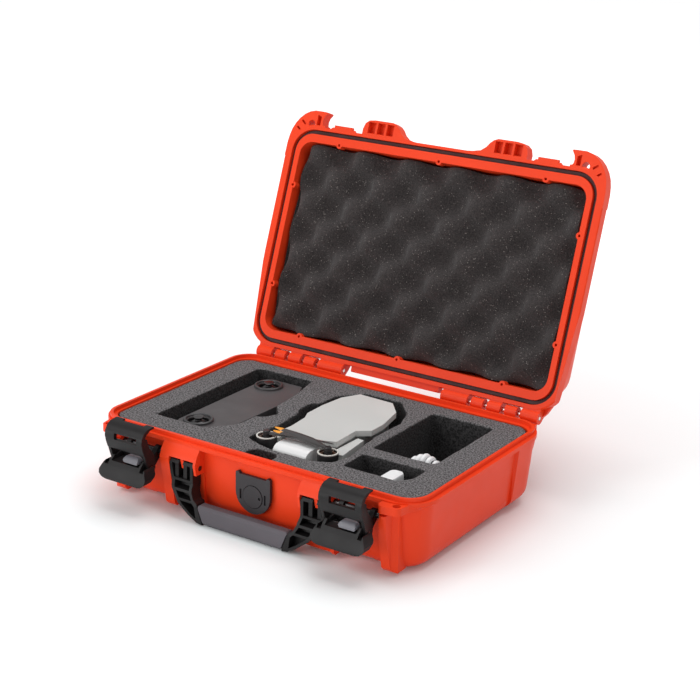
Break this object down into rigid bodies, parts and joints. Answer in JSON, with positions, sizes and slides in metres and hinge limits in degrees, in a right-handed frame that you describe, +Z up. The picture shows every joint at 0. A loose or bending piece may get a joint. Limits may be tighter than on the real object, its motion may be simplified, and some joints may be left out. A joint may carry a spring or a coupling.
{
  "type": "drone carrying case",
  "caption": "Hard carrying case with a hinged lid standing open, two lever latches, a drop handle and fitted foam that holds a folded drone, its controller, a charger and a cable.",
  "frame": {"origin": "middle of the underside of the base, on the ground the case stands on", "axes": "+Z up; +X to the right along the front with the latches and handle; +Y from the front to the hinge"},
  "size_m": [0.314, 0.3309, 0.2692],
  "materials": {
    "orange_shell": "satin moulded polypropylene, orange-red",
    "black_latch": "black moulded nylon",
    "valve_black": "dark grey-black moulded plastic",
    "steel_pin": "bright steel pin",
    "button_grey": "mid-grey moulded plastic",
    "grip_rubber": "dark grey soft rubber",
    "seal_rubber": "dark maroon silicone cord",
    "base_foam": "grey closed-cell foam, speckled",
    "lid_foam": "charcoal egg-crate foam",
    "drone_shell": "pale grey satin plastic",
    "motor_black": "black plastic and anodised metal",
    "controller_shell": "dark grey plastic",
    "stick_metal": "dark anodised metal",
    "white_plastic": "white plastic"
  },
  "bodies": {
    "base": {"base_shell": "orange_shell", "base_foam_insert": "base_foam", "base_foam_pad": "base_foam", "valve_plate": "valve_black", "valve_cap": "valve_black", "valve_membrane": "white_plastic", "hinge_pin_left": "steel_pin", "hinge_pin_right": "steel_pin", "latch_pin_left": "steel_pin", "latch_pin_right": "steel_pin", "handle_pin_left": "steel_pin", "handle_pin_right": "steel_pin"},
    "lid": {"lid_shell": "orange_shell", "lid_gasket": "seal_rubber", "lid_foam": "lid_foam"},
    "handle": {"handle_frame": "black_latch", "handle_grip": "grip_rubber"},
    "latch_paddle_left": {"latch_paddle_left": "black_latch", "latch_link_pin_left": "steel_pin"},
    "latch_claw_left": {"latch_claw_left": "black_latch"},
    "latch_button_left": {"latch_button_left": "button_grey"},
    "latch_paddle_right": {"latch_paddle_right": "black_latch", "latch_link_pin_right": "steel_pin"},
    "latch_claw_right": {"latch_claw_right": "black_latch"},
    "latch_button_right": {"latch_button_right": "button_grey"},
    "drone": {"drone_body": "drone_shell", "drone_battery": "drone_shell", "drone_arm_left": "drone_shell", "drone_arm_right": "drone_shell", "drone_motor_left": "motor_black", "drone_motor_right": "motor_black", "drone_motor_rim_left": "steel_pin", "drone_motor_rim_right": "steel_pin", "drone_propeller_left": "motor_black", "drone_propeller_right": "motor_black"},
    "controller": {"controller_body": "controller_shell", "controller_flap": "controller_shell", "controller_stick_front": "stick_metal", "controller_stick_rear": "stick_metal"},
    "charger": {"charger": "white_plastic"},
    "cable": {"cable_hank": "white_plastic"}
  },
  "joints": [
    {"name": "lid_hinge", "type": "hinge", "parent": "base", "child": "lid", "pos_m": [0, 0.106, 0.062], "axis": [-1, 0, 0], "range_deg": [-109.7, 0]},
    {"name": "handle_hinge", "type": "hinge", "parent": "base", "child": "handle", "pos_m": [0.003, -0.099, 0.0416], "axis": [-1, 0, 0], "range_deg": [0, 91]},
    {"name": "latch_paddle_hinge_left", "type": "hinge", "parent": "base", "child": "latch_paddle_left", "pos_m": [-0.101, -0.098, 0.046], "axis": [-1, 0, 0], "range_deg": [-24, 14]},
    {"name": "latch_claw_hinge_left", "type": "hinge", "parent": "latch_paddle_left", "child": "latch_claw_left", "pos_m": [-0.101, -0.112, 0.037], "axis": [-1, 0, 0], "range_deg": [-20, 34.5]},
    {"name": "latch_paddle_hinge_right", "type": "hinge", "parent": "base", "child": "latch_paddle_right", "pos_m": [0.101, -0.098, 0.046], "axis": [-1, 0, 0], "range_deg": [-24, 14]},
    {"name": "latch_claw_hinge_right", "type": "hinge", "parent": "latch_paddle_right", "child": "latch_claw_right", "pos_m": [0.101, -0.112, 0.037], "axis": [-1, 0, 0], "range_deg": [-20, 34.5]},
    {"name": "latch_button_push_left", "type": "slide", "parent": "latch_paddle_left", "child": "latch_button_left", "axis": [0, 1, 0], "range_m": [0, 0.0015], "stiffness_N_per_m": 300},
    {"name": "latch_button_push_right", "type": "slide", "parent": "latch_paddle_right", "child": "latch_button_right", "axis": [0, 1, 0], "range_m": [0, 0.0015], "stiffness_N_per_m": 300},
    {"name": "drone_lift_out", "type": "slide", "parent": "base", "child": "drone", "axis": [0, 0, 1], "range_m": [0, 0.06]},
    {"name": "controller_lift_out", "type": "slide", "parent": "base", "child": "controller", "axis": [0, 0, 1], "range_m": [0, 0.06]},
    {"name": "charger_lift_out", "type": "slide", "parent": "base", "child": "charger", "axis": [0, 0, 1], "range_m": [0, 0.06]},
    {"name": "cable_lift_out", "type": "slide", "parent": "base", "child": "cable", "axis": [0, 0, 1], "range_m": [0, 0.06]}
  ],
  "couplings": [
    {"joint": "latch_claw_hinge_left", "follows": "latch_paddle_hinge_left", "ratio": -1.4167},
    {"joint": "latch_claw_hinge_right", "follows": "latch_paddle_hinge_right", "ratio": -1.4167}
  ]
}
